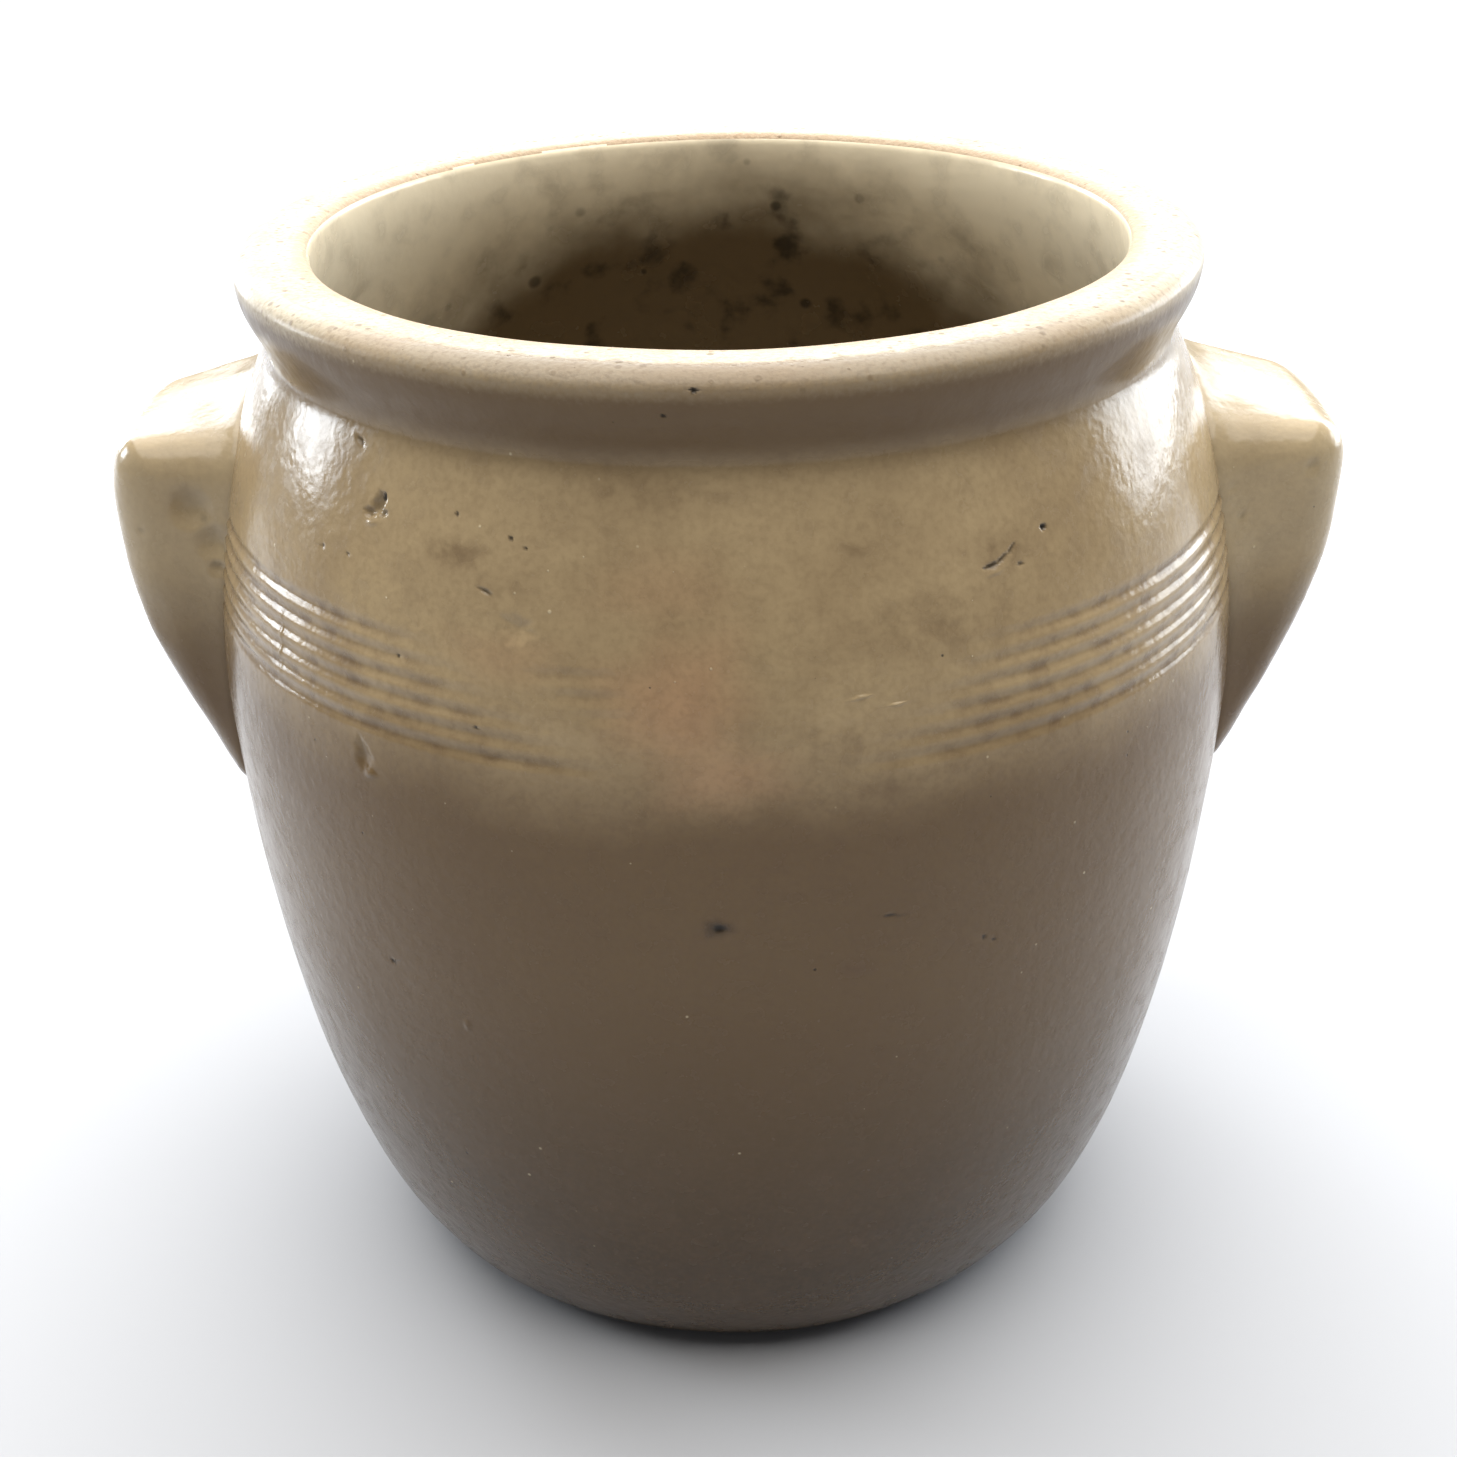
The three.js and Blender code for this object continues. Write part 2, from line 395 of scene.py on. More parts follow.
class NodeTree:
    """Places and joins the nodes of one shader tree."""

    def __init__(self, tree: bpy.types.NodeTree) -> None:
        """Take an empty tree."""
        self.tree = tree

    def add(
        self, kind: str, inputs: dict[str | int, Value] | None = None, **settings: object
    ) -> bpy.types.Node:
        """Add a node.

        Args:
            kind: The node's type, without the leading ShaderNode.
            inputs: What each input takes, a value or another node's output.
            **settings: The node's own settings.

        Returns:
            The node.
        """
        node = self.tree.nodes.new(f"ShaderNode{kind}")
        for name, value in settings.items():
            setattr(node, name, value)
        self.feed(node, inputs or {})
        return node

    def feed(self, node: bpy.types.Node, inputs: dict[str | int, Value]) -> None:
        """Give each input its value, or join it to another node's output.

        Args:
            node: The node.
            inputs: What each input takes, a value or another node's output.
        """
        for name, value in inputs.items():
            if isinstance(value, bpy.types.NodeSocket):
                self.tree.links.new(value, node.inputs[name])
            else:
                node.inputs[name].default_value = value

    def noise(self, where: Value, scale: Value, detail: float = 3.0) -> bpy.types.NodeSocket:
        """Add fractal noise and give its value."""
        return self.add("TexNoise", {"Vector": where, "Scale": scale, "Detail": detail}).outputs[0]

    def ramp(
        self, value: Value, low: Value, high: Value, start: float = 0.0, end: float = 1.0
    ) -> bpy.types.NodeSocket:
        """Turn a value that runs from low to high into one that runs smoothly from start to end."""
        inputs = {0: value, 1: low, 2: high, 3: start, 4: end}
        return self.add("MapRange", inputs, interpolation_type="SMOOTHSTEP").outputs[0]

    def calc(self, operation: str, first: Value, second: Value = 0.0) -> bpy.types.NodeSocket:
        """Add a Math node and give its result."""
        return self.add("Math", {0: first, 1: second}, operation=operation, use_clamp=False).outputs[0]

    def part(self, value: Value, share: Value) -> bpy.types.NodeSocket:
        """Give a part of a value."""
        return self.calc("MULTIPLY", value, share)

    def stray(self, where: Value, scale: float, detail: float, swing: float) -> bpy.types.NodeSocket:
        """Give a noise that strays to both sides of zero."""
        return self.part(self.calc("SUBTRACT", self.noise(where, scale, detail), 0.5), swing)

    def tint(self, amount: Value, below: Value, above: Value, kind: str = "MIX") -> bpy.types.NodeSocket:
        """Lay one colour over another by an amount and give the mixed colour."""
        node = self.add("Mix", {0: amount, 6: below, 7: above}, data_type="RGBA", blend_type=kind)
        return node.outputs[2]

    def attribute(self, name: str) -> bpy.types.NodeSocket:
        """Read an amount that was painted on the piece."""
        return self.add("Attribute", attribute_name=name, attribute_type="GEOMETRY").outputs["Fac"]

    def call(self, group: bpy.types.NodeTree, inputs: dict[str, Value]) -> bpy.types.Node:
        """Place a node group with its own values.

        Args:
            group: The group.
            inputs: What each of its inputs takes.

        Returns:
            The group's node.
        """
        node = self.tree.nodes.new("ShaderNodeGroup")
        node.node_tree = group
        self.feed(node, inputs)
        return node


def make_group(
    name: str,
    inputs: dict[str, str],
    outputs: dict[str, str],
    fill: Callable[[NodeTree, bpy.types.Node], dict[str, bpy.types.NodeSocket]],
) -> bpy.types.NodeTree:
    """Build a shader node group.

    Args:
        name: The group's name.
        inputs: Each input's name with its kind, Vector, Float or Color.
        outputs: Each output's name with its kind.
        fill: Adds the group's nodes and gives what each output takes.

    Returns:
        The node group.
    """
    group = bpy.data.node_groups.new(name, "ShaderNodeTree")
    for way, sockets in (("INPUT", inputs), ("OUTPUT", outputs)):
        for socket, kind in sockets.items():
            group.interface.new_socket(socket, in_out=way, socket_type=f"NodeSocket{kind}")
    tree = NodeTree(group)
    entry = group.nodes.new("NodeGroupInput")
    leave = group.nodes.new("NodeGroupOutput")
    for socket, value in fill(tree, entry).items():
        group.links.new(value, leave.inputs[socket])
    return group


def cloud_group() -> bpy.types.NodeTree:
    """Build the group that gives soft clouds of a size, as a mask.

    Returns:
        A group with a mask.
    """

    def fill(tree: NodeTree, entry: bpy.types.Node) -> dict[str, bpy.types.NodeSocket]:
        """Ramp a noise between two levels."""
        noise = tree.noise(entry.outputs["Vector"], entry.outputs["Scale"], 4.0)
        return {"Mask": tree.ramp(noise, entry.outputs["Low"], entry.outputs["High"])}

    inputs = {"Vector": "Vector", "Scale": "Float", "Low": "Float", "High": "Float"}
    return make_group("clouds", inputs, {"Mask": "Float"}, fill)


def speck_group() -> bpy.types.NodeTree:
    """Build the group that scatters round specks of a size, as a mask.

    Returns:
        A group with a mask.
    """

    def fill(tree: NodeTree, entry: bpy.types.Node) -> dict[str, bpy.types.NodeSocket]:
        """Keep a share of the cells, each with a small dot near its middle.

        Args:
            tree: The group's tree.
            entry: The group's inputs.

        Returns:
            What each output takes.
        """
        cells = tree.add("TexVoronoi", {"Vector": entry.outputs["Vector"], "Scale": entry.outputs["Scale"]})
        draw = tree.add("SeparateColor", {0: cells.outputs["Color"]})
        size = tree.part(entry.outputs["Size"], draw.outputs[1])
        core = tree.part(size, 0.4)
        dot = tree.ramp(cells.outputs["Distance"], size, core)
        kept = tree.calc("LESS_THAN", draw.outputs[0], entry.outputs["Share"])
        return {"Mask": tree.part(dot, kept)}

    inputs = {"Vector": "Vector", "Scale": "Float", "Size": "Float", "Share": "Float"}
    return make_group("specks", inputs, {"Mask": "Float"}, fill)


def peel_group() -> bpy.types.NodeTree:
    """Build the group that gives the orange-peel swell of a fired glaze, as a height.

    Returns:
        A group with a height.
    """

    def fill(tree: NodeTree, entry: bpy.types.Node) -> dict[str, bpy.types.NodeSocket]:
        """Add a fine swell to a broad one.

        Args:
            tree: The group's tree.
            entry: The group's inputs.

        Returns:
            What each output takes.
        """
        broad = tree.noise(entry.outputs["Vector"], entry.outputs["Scale"], 1.0)
        finer_scale = tree.part(entry.outputs["Scale"], 2.7)
        finer = tree.noise(entry.outputs["Vector"], finer_scale, 2.0)
        return {"Height": tree.calc("ADD", broad, tree.part(finer, 0.35))}

    return make_group("orange_peel", {"Vector": "Vector", "Scale": "Float"}, {"Height": "Float"}, fill)


@dataclass(frozen=True)
class ClayFinish:
    """Fired stoneware clay without glaze: sandy, matt and a little sparkling."""

    pale: Colour = srgb(196, 184, 160)
    peach: Colour = srgb(178, 150, 118)
    sand: Colour = srgb(112, 93, 70)
    # Painted shade: the rim's bare clay darkens to sand towards the front, away from the lights.
    front_shade: float = 0.68
    front_shade_least: float = 0.1
    front_shade_between: Point = (-0.065, -0.118)
    roughness: float = 0.7
    grain: float = 0.5 * MM
    grain_scale: float = 900.0


@dataclass(frozen=True)
class GlazeFinish:
    """The olive-tan glaze and its stains, darker from the belly down, partly its own tone and partly painted
    shade, with painted shade under its bead.
    """

    tan: Colour = srgb(172, 150, 114)
    olive: Colour = srgb(156, 134, 100)
    brown: Colour = srgb(100, 78, 55)
    # Shade and foot darken the lower body, partly the glaze's own tone and partly painted shade; shade is
    # also the painted shade under the bead.
    shade: Colour = srgb(94, 71, 41)
    foot: Colour = srgb(62, 47, 28)
    pink: Colour = srgb(176, 138, 104)
    iron: Colour = srgb(28, 22, 16)
    # Pale is the glaze's pale specks, and also the painted light on the lugs' upper parts.
    pale: Colour = srgb(216, 200, 166)
    roughness: float = 0.2
    peel: float = 0.16 * MM
    peel_scale: float = 300.0
    # Heights, in metres, over which the lower body and then the foot darken, partly painted shade.
    brown_from: float = 0.213
    brown_to: float = 0.184
    foot_from: float = 0.16
    foot_to: float = 0.03
    drift: float = 0.022
    shine: float = 0.3
    coat: float = 0.1
    coat_roughness: float = 0.1


@dataclass(frozen=True)
class InnerFinish:
    """The glaze inside, darkened and blotched by what the crock has held, with painted shade deeper down and
    painted light on the side walls.
    """

    tan: Colour = srgb(248, 233, 202)
    brown: Colour = srgb(104, 86, 60)
    black: Colour = srgb(30, 25, 18)
    roughness: float = 0.22
    # Heights where the inside darkens, partly stains and partly painted shade, and how far painted light
    # keeps the side walls paler.
    stain_and_shade_from: float = 0.298
    stain_and_shade_to: float = 0.252
    lit_sides: float = 4.5
    drift: float = 0.04


class Finishes:
    """Makes the crock's materials, with the groups that they share."""

    def __init__(self) -> None:
        """Build the shared groups once."""
        self.clouds = cloud_group()
        self.specks = speck_group()
        self.peel = peel_group()
        self.clay = self.clay_group(ClayFinish())
        self.glaze = self.glaze_group(GlazeFinish())

    def clay_group(self, finish: ClayFinish) -> bpy.types.NodeTree:
        """Build the group that gives bare sandy clay.

        Args:
            finish: The clay's colours and grain.

        Returns:
            A group with a colour and a height.
        """

        def fill(tree: NodeTree, entry: bpy.types.Node) -> dict[str, bpy.types.NodeSocket]:
            """Mix pale clay, peach clouds and dark sand.

            Args:
                tree: The group's tree.
                entry: The group's inputs.

            Returns:
                What each output takes.
            """
            where = entry.outputs["Vector"]
            soft = tree.call(self.clouds, {"Vector": where, "Scale": 38.0, "Low": 0.42, "High": 0.7})
            gritty = tree.call(self.clouds, {"Vector": where, "Scale": 700.0, "Low": 0.45, "High": 0.7})
            dots = tree.call(self.specks, {"Vector": where, "Scale": 420.0, "Size": 0.5, "Share": 0.3})
            colour = tree.tint(tree.part(soft.outputs[0], 0.45), finish.pale, finish.peach)
            colour = tree.tint(tree.part(gritty.outputs[0], 0.35), colour, finish.sand)
            colour = tree.tint(tree.part(dots.outputs[0], 0.6), colour, finish.sand)
            grain = tree.noise(where, finish.grain_scale, 3.0)
            height = tree.calc("ADD", grain, tree.part(dots.outputs[0], 0.5))
            return {"Colour": colour, "Height": height}

        outputs = {"Colour": "Color", "Height": "Float"}
        return make_group("sandy_clay", {"Vector": "Vector"}, outputs, fill)

    def glaze_group(self, finish: GlazeFinish) -> bpy.types.NodeTree:
        """Build the group that gives the tan glaze with its stains, and painted shade on its lower body,
        under its bead and in its grooves.

        Args:
            finish: The glaze's colours.

        Returns:
            A group with a colour, a roughness and a height.
        """

        def fill(tree: NodeTree, entry: bpy.types.Node) -> dict[str, bpy.types.NodeSocket]:
            """Lay clouds, stains, painted shade, specks and grime over the tan glaze.

            Args:
                tree: The group's tree.
                entry: The group's inputs.

            Returns:
                What each output takes.
            """
            where = entry.outputs["Vector"]
            height = tree.add("SeparateXYZ", {0: where}).outputs[2]
            broad = tree.call(self.clouds, {"Vector": where, "Scale": 14.0, "Low": 0.35, "High": 0.68})
            patch = tree.call(self.clouds, {"Vector": where, "Scale": 55.0, "Low": 0.4, "High": 0.7})
            cloud = tree.call(self.clouds, {"Vector": where, "Scale": 160.0, "Low": 0.35, "High": 0.75})
            fine = tree.call(self.clouds, {"Vector": where, "Scale": 620.0, "Low": 0.35, "High": 0.75})
            level = tree.calc("ADD", height, tree.stray(where, 26.0, 4.0, finish.drift))
            # Darker from the belly down and most at the foot: partly the glaze's own tone, partly painted
            # shade where the wall turns from the light.
            low = tree.ramp(level, finish.brown_from, finish.brown_to)

            colour = tree.tint(broad.outputs[0], finish.tan, finish.olive)
            colour = tree.tint(tree.part(low, 0.88), colour, finish.shade)
            foot = tree.ramp(level, finish.foot_from, finish.foot_to)
            colour = tree.tint(tree.part(foot, 0.9), colour, finish.foot)
            # Painted shade under the rolled bead, which faces down and away from the light.
            bead = tree.part(tree.ramp(height, 0.262, 0.274), tree.ramp(height, 0.288, 0.283))
            colour = tree.tint(tree.part(bead, 0.88), colour, finish.shade)
            colour = tree.tint(tree.part(entry.outputs["Blush"], 0.75), colour, finish.pink)
            clouded = tree.ramp(cloud.outputs[0], 0.0, 1.0, 0.3, 1.2)
            # Stains and painted shade, from the grooves and the belly, tint the glaze brown.
            darkening = tree.part(entry.outputs["Stain"], clouded)
            colour = tree.tint(darkening, colour, finish.brown)
            colour = tree.tint(tree.part(patch.outputs[0], 0.16), colour, finish.brown)
            colour = tree.tint(tree.part(cloud.outputs[0], 0.14), colour, finish.brown)
            mottling = tree.part(fine.outputs[0], tree.ramp(low, 0.0, 1.0, 0.18, 0.34))
            colour = tree.tint(mottling, colour, finish.brown)

            dark = tree.call(self.specks, {"Vector": where, "Scale": 170.0, "Size": 0.09, "Share": 0.22})
            light = tree.call(self.specks, {"Vector": where, "Scale": 260.0, "Size": 0.16, "Share": 0.12})
            colour = tree.tint(tree.part(light.outputs[0], 0.55), colour, finish.pale)
            colour = tree.tint(tree.part(dark.outputs[0], 0.8), colour, finish.iron)
            colour = tree.tint(entry.outputs["Grime"], colour, finish.iron)

            swell = tree.call(self.peel, {"Vector": where, "Scale": finish.peel_scale})
            height = tree.calc("ADD", swell.outputs[0], tree.part(light.outputs[0], 0.5))
            height = tree.calc("SUBTRACT", height, tree.part(dark.outputs[0], 0.8))
            gloss = tree.ramp(cloud.outputs[0], 0.0, 1.0, finish.roughness, finish.roughness + 0.1)
            gloss = tree.calc("ADD", gloss, tree.part(entry.outputs["Grime"], 0.3))
            gloss = tree.calc("ADD", gloss, tree.part(bead, 0.12))
            return {"Colour": colour, "Roughness": gloss, "Height": height}

        inputs = {"Vector": "Vector", "Stain": "Float", "Blush": "Float", "Grime": "Float"}
        outputs = {"Colour": "Color", "Roughness": "Float", "Height": "Float"}
        return make_group("tan_glaze", inputs, outputs, fill)

    def start(self, name: str) -> tuple[bpy.types.Material, NodeTree, bpy.types.Node, bpy.types.NodeSocket]:
        """Start a material.

        Args:
            name: The material's name.

        Returns:
            The material, its tree, its shader and the place on the piece.
        """
        material = bpy.data.materials.new(name)
        material.use_nodes = True
        tree = NodeTree(material.node_tree)
        shader = material.node_tree.nodes["Principled BSDF"]
        where = tree.add("TexCoord").outputs["Object"]
        return material, tree, shader, where

    def finish_with(
        self,
        tree: NodeTree,
        shader: bpy.types.Node,
        colour: bpy.types.NodeSocket,
        roughness: bpy.types.NodeSocket,
        height: bpy.types.NodeSocket,
        swing: float,
    ) -> None:
        """Join a colour, a roughness and a height to a shader.

        Args:
            tree: The material's tree.
            shader: The material's shader.
            colour: What the base colour takes.
            roughness: What the roughness takes.
            height: What the bump takes.
            swing: How far the bump's height of 1 stands.
        """
        bump = tree.add("Bump", {"Strength": 1.0, "Distance": swing, "Height": height})
        tree.tree.links.new(colour, shader.inputs["Base Color"])
        tree.tree.links.new(roughness, shader.inputs["Roughness"])
        tree.tree.links.new(bump.outputs[0], shader.inputs["Normal"])

    def stained_glaze(
        self, tree: NodeTree, where: bpy.types.NodeSocket, grime: bpy.types.NodeSocket
    ) -> bpy.types.Node:
        """Place the tan glaze with what has been painted on the piece."""
        painted = {"Stain": tree.attribute("stain"), "Blush": tree.attribute("blush"), "Grime": grime}
        return tree.call(self.glaze, {"Vector": where, **painted})

    def shaded_front(self, tree: NodeTree, axes: bpy.types.Node) -> bpy.types.NodeSocket:
        """Say how much painted shade darkens the rim's bare clay, most at the front, which faces the dim
        room.
        """
        finish = ClayFinish()
        return tree.ramp(axes.outputs[1], *finish.front_shade_between, finish.front_shade_least, finish.front_shade)

    def gloss_over(self, shader: bpy.types.Node) -> None:
        """Give an outer glaze its shine and its thin clear coat.

        Args:
            shader: The material's shader.
        """
        finish = GlazeFinish()
        shader.inputs["Specular IOR Level"].default_value = finish.shine
        shader.inputs["Coat Weight"].default_value = finish.coat
        shader.inputs["Coat Roughness"].default_value = finish.coat_roughness

    def outer_glaze(self) -> bpy.types.Material:
        """Make the pot's outer glaze, which thins to sandy clay over the rim's edge.

        Returns:
            The material.
        """
        material, tree, shader, where = self.start("pot_outer_glaze")
        grime = tree.attribute("grime")
        glaze = self.stained_glaze(tree, where, grime)
        clay = tree.call(self.clay, {"Vector": where})
        axes = tree.add("SeparateXYZ", {0: where})
        ragged = tree.stray(where, 800.0, 3.0, 0.006)
        bare = tree.ramp(tree.calc("ADD", axes.outputs[2], ragged), 0.2825, 0.2898)
        # Painted shade: the bare clay over the rim's edge darkens to sand towards the front.
        front_shade = self.shaded_front(tree, axes)
        sandy = tree.tint(front_shade, clay.outputs["Colour"], ClayFinish().sand)
        colour = tree.tint(bare, glaze.outputs["Colour"], sandy)
        colour = tree.tint(grime, colour, GlazeFinish().iron)
        rough = tree.add("Mix", {0: bare, 2: glaze.outputs["Roughness"], 3: 0.55}).outputs[0]
        bumps = tree.add("Mix", {0: bare, 2: glaze.outputs["Height"], 3: clay.outputs["Height"]}).outputs[0]
        self.finish_with(tree, shader, colour, rough, bumps, GlazeFinish().peel)
        self.gloss_over(shader)
        return material

    def bare_lip(self) -> bpy.types.Material:
        """Make the lip's unglazed sandy clay, peach-coloured towards its inner edge.

        Returns:
            The material.
        """
        material, tree, shader, where = self.start("lip_bare_clay")
        clay = tree.call(self.clay, {"Vector": where})
        axes = tree.add("SeparateXYZ", {0: where})
        flat = tree.add("CombineXYZ", {0: axes.outputs[0], 1: axes.outputs[1]})
        radius = tree.add("VectorMath", {0: flat.outputs[0]}, operation="LENGTH").outputs["Value"]
        ragged = tree.stray(where, 150.0, 4.0, 0.006)
        inner = tree.ramp(tree.calc("ADD", radius, ragged), 0.1105, 0.1065)
        colour = tree.tint(tree.part(inner, 0.75), clay.outputs["Colour"], ClayFinish().peach)
        # Painted shade: the lip's outer edge darkens to sand towards the front.
        front_shade = self.shaded_front(tree, axes)
        outer = tree.part(tree.ramp(tree.calc("ADD", radius, ragged), 0.1145, 0.1175), front_shade)
        colour = tree.tint(outer, colour, ClayFinish().sand)
        rough = tree.ramp(tree.noise(where, 500.0, 2.0), 0.3, 0.7, 0.5, ClayFinish().roughness)
        self.finish_with(tree, shader, colour, rough, clay.outputs["Height"], ClayFinish().grain)
        return material

    def inner_glaze(self) -> bpy.types.Material:
        """Make the inside's glaze, tan under the lip and dark with stains and painted shade further down,
        with painted light on the side walls.

        Returns:
            The material.
        """
        finish = InnerFinish()
        material, tree, shader, where = self.start("pot_inner_glaze")
        height = tree.add("SeparateXYZ", {0: where}).outputs[2]
        drift = tree.stray(where, 30.0, 5.0, finish.drift)
        across = tree.add("SeparateXYZ", {0: where}).outputs[0]
        # Painted light: the side walls stay paler than the back and darken only lower down.
        side_light = tree.part(across, across)
        level = tree.calc("ADD", height, tree.part(side_light, finish.lit_sides))
        depth = tree.ramp(tree.calc("ADD", level, drift), finish.stain_and_shade_from, finish.stain_and_shade_to)
        cloud = tree.call(self.clouds, {"Vector": where, "Scale": 90.0, "Low": 0.45, "High": 0.8})
        blotch = tree.call(self.clouds, {"Vector": where, "Scale": 75.0, "Low": 0.52, "High": 0.74})
        spots = tree.call(self.specks, {"Vector": where, "Scale": 120.0, "Size": 0.35, "Share": 0.3})
        colour = tree.tint(depth, finish.tan, finish.brown)
        colour = tree.tint(tree.part(cloud.outputs[0], 0.3), colour, finish.brown)
        dark = tree.part(tree.part(blotch.outputs[0], depth), 0.8)
        colour = tree.tint(dark, colour, finish.black)
        speckled = tree.part(tree.part(spots.outputs[0], depth), 0.7)
        colour = tree.tint(speckled, colour, finish.black)
        rough = tree.ramp(cloud.outputs[0], 0.0, 1.0, finish.roughness, finish.roughness + 0.15)
        swell = tree.call(self.peel, {"Vector": where, "Scale": 180.0})
        self.finish_with(tree, shader, colour, rough, swell.outputs[0], GlazeFinish().peel)
        return material

    def foot_clay(self) -> bpy.types.Material:
        """Make the foot's bare clay, with the curved drag lines of the cutting wire.

        Returns:
            The material.
        """
        material, tree, shader, where = self.start("foot_bare_clay")
        clay = tree.call(self.clay, {"Vector": where})
        centred = tree.add("Mapping", {"Vector": where, "Location": (0.16, 0.03, 0.0)})
        rings = {0: centred.outputs[0], "Scale": 55.0, "Distortion": 2.0}
        wire = tree.add("TexWave", rings, wave_type="RINGS", rings_direction="Z")
        colour = tree.tint(0.45, clay.outputs["Colour"], ClayFinish().sand)
        colour = tree.tint(tree.part(wire.outputs[1], 0.2), colour, ClayFinish().peach)
        rough = tree.ramp(tree.noise(where, 500.0, 2.0), 0.3, 0.7, 0.65, 0.85)
        height = tree.calc("ADD", clay.outputs["Height"], wire.outputs[1])
        self.finish_with(tree, shader, colour, rough, height, ClayFinish().grain)
        return material

    def lug_glaze(self) -> bpy.types.Material:
        """Make the lugs' glaze, the pot's own with the marks of the hand that luted them, with painted light
        on their upper parts.

        Returns:
            The material.
        """
        material, tree, shader, where = self.start("lug_outer_glaze")
        glaze = self.stained_glaze(tree, where, tree.attribute("grime"))
        height = tree.add("SeparateXYZ", {0: where}).outputs[2]
        # Painted light: the lug's glaze turns paler towards its top, where the light falls.
        pale = tree.ramp(height, 0.165, 0.225, 0.0, 0.26)
        colour = tree.tint(pale, glaze.outputs["Colour"], GlazeFinish().pale)
        rough = glaze.outputs["Roughness"]
        self.finish_with(tree, shader, colour, rough, glaze.outputs["Height"], GlazeFinish().peel)
        self.gloss_over(shader)
        return material


@dataclass
class WallProfile:
    """The pot's section from foot to lip, as radius and height. Sizes are in millimetres."""

    height: float = 290.0
    foot_radius: float = 92.0
    foot_round: float = 2.5
    foot_hollow: float = 0.6
    foot_ring: float = 14.0
    belly: Point = (138.2, 172.0)
    neck: Point = (117.6, 267.0)
    rim_radius: float = 123.2
    rim_edge_drop: float = 4.0
    lip_outer: float = 117.0
    lip_inner: float = 107.5
    mouth_radius: float = 104.5
    inner_belly: Point = (128.7, 172.0)
    floor_radius: float = 82.0
    floor_height: float = 11.0
    band_foot: float = 198.5
    band_head: float = 230.5
    band_step: float = 0.575
    bead_steps: int = 16
    edge_steps: int = 10
    skin: float = 4.0

    def foot(self) -> list[Point]:
        """Draw the underside from the axis outwards, a shallow hollow inside a flat ring.

        Returns:
            The points as radius and height.
        """
        inner = self.foot_radius - self.foot_ring
        hollow = [(float(r), self.foot_hollow) for r in np.linspace(0, inner, 9)]
        edge = arc((self.foot_radius, self.foot_round), (self.foot_round,) * 2, -90, -50, 3)
        return [*hollow, (inner + 4, 0.1), (inner + 6, 0.0), (self.foot_radius, 0.0), *edge]

    def lower_wall(self) -> list[Point]:
        """Draw the wall from the foot up to the belly's widest line."""
        return bezier(self.foot()[-1], (120.5, 13.5), (135.0, 98.0), self.belly, 60)

    def shoulder_curve(self, steps: int) -> list[Point]:
        """Draw the smooth shoulder from the belly up to the neck."""
        return bezier(self.belly, (138.9, 212.0), (128.5, 246.0), self.neck, steps)

    def shoulder(self) -> list[Point]:
        """Draw the shoulder with close rings where the comb has marked it.

        Returns:
            The points after the first one, as radius and height.
        """
        smooth = np.array([self.belly, *self.shoulder_curve(120)])
        below = np.linspace(self.belly[1], self.band_foot, 11)[1:-1]
        band = np.arange(self.band_foot, self.band_head, self.band_step)
        above = np.linspace(self.band_head, self.neck[1], 18)
        heights = np.concatenate([below, band, above])
        radii = np.interp(heights, smooth[:, 1], smooth[:, 0])
        return [(float(r), float(h)) for r, h in zip(radii, heights)]

    def rim(self) -> list[Point]:
        """Draw the rolled bead, the flat lip and the round of its inner edge.

        Returns:
            The points after the first one, as radius and height.
        """
        edge = self.height - self.rim_edge_drop
        inner = self.lip_inner - self.mouth_radius
        leave = (self.neck[0] - 0.8, 272.0)
        arrive = (self.rim_radius, 277.0)
        bead = bezier(self.neck, leave, arrive, (self.rim_radius, edge), self.bead_steps)
        rounding = (self.rim_radius - self.lip_outer, self.rim_edge_drop)
        outer = arc((self.lip_outer, edge), rounding, 0, 90, self.edge_steps)
        lip = [(float(r), self.height) for r in np.linspace(self.lip_outer, self.lip_inner, 5)[1:]]
        return [*bead, *outer, *lip, *arc((self.lip_inner, self.height - inner), (inner, inner), 90, 180, 8)]

    def inside(self) -> list[Point]:
        """Draw the inner wall and the floor, from the mouth down to the axis.

        Returns:
            The points after the first one, as radius and height.
        """
        mouth = (self.mouth_radius, self.height - self.lip_inner + self.mouth_radius)
        upper = bezier(mouth, (104.0, 265.0), (129.0, 230.0), self.inner_belly, 34)
        floor_edge = (self.floor_radius, self.floor_height)
        lower = bezier(self.inner_belly, (127.5, 100.0), (111.0, self.floor_height), floor_edge, 36)
        floor = [(float(r), self.floor_height) for r in np.linspace(self.floor_radius, 0, 9)[1:]]
        return [*upper, *lower, *floor]

    def outside(self) -> np.ndarray:
        """Give the smooth outer wall from foot to neck, as rows of radius and height."""
        return np.array([*self.foot()[-3:], *self.lower_wall(), *self.shoulder_curve(60)])

    def is_outside(self, places: np.ndarray) -> np.ndarray:
        """Tell places on the outer wall from those on the inner one.

        Args:
            places: Places on the pot, in metres.

        Returns:
            A true or false value for each place.
        """
        wall = np.array([*self.outside(), *self.rim()[: self.bead_steps + self.edge_steps]])
        surface = np.interp(places[:, 2] / MM, wall[:, 1], wall[:, 0])
        return np.hypot(places[:, 0], places[:, 1]) / MM > surface - self.skin

    def chain(self) -> list[Vector]:
        """Give the whole section as places in the XZ plane, in metres."""
        points = [*self.foot(), *self.lower_wall(), *self.shoulder(), *self.rim(), *self.inside()]
        return [Vector((r * MM, 0, h * MM)) for r, h in points]


@dataclass(frozen=True)
class Stroke:
    """Where one stroke of the comb fades out and comes back, in degrees from the front."""

    left_full: float
    left_gone: float
    right_gone: float
    right_full: float


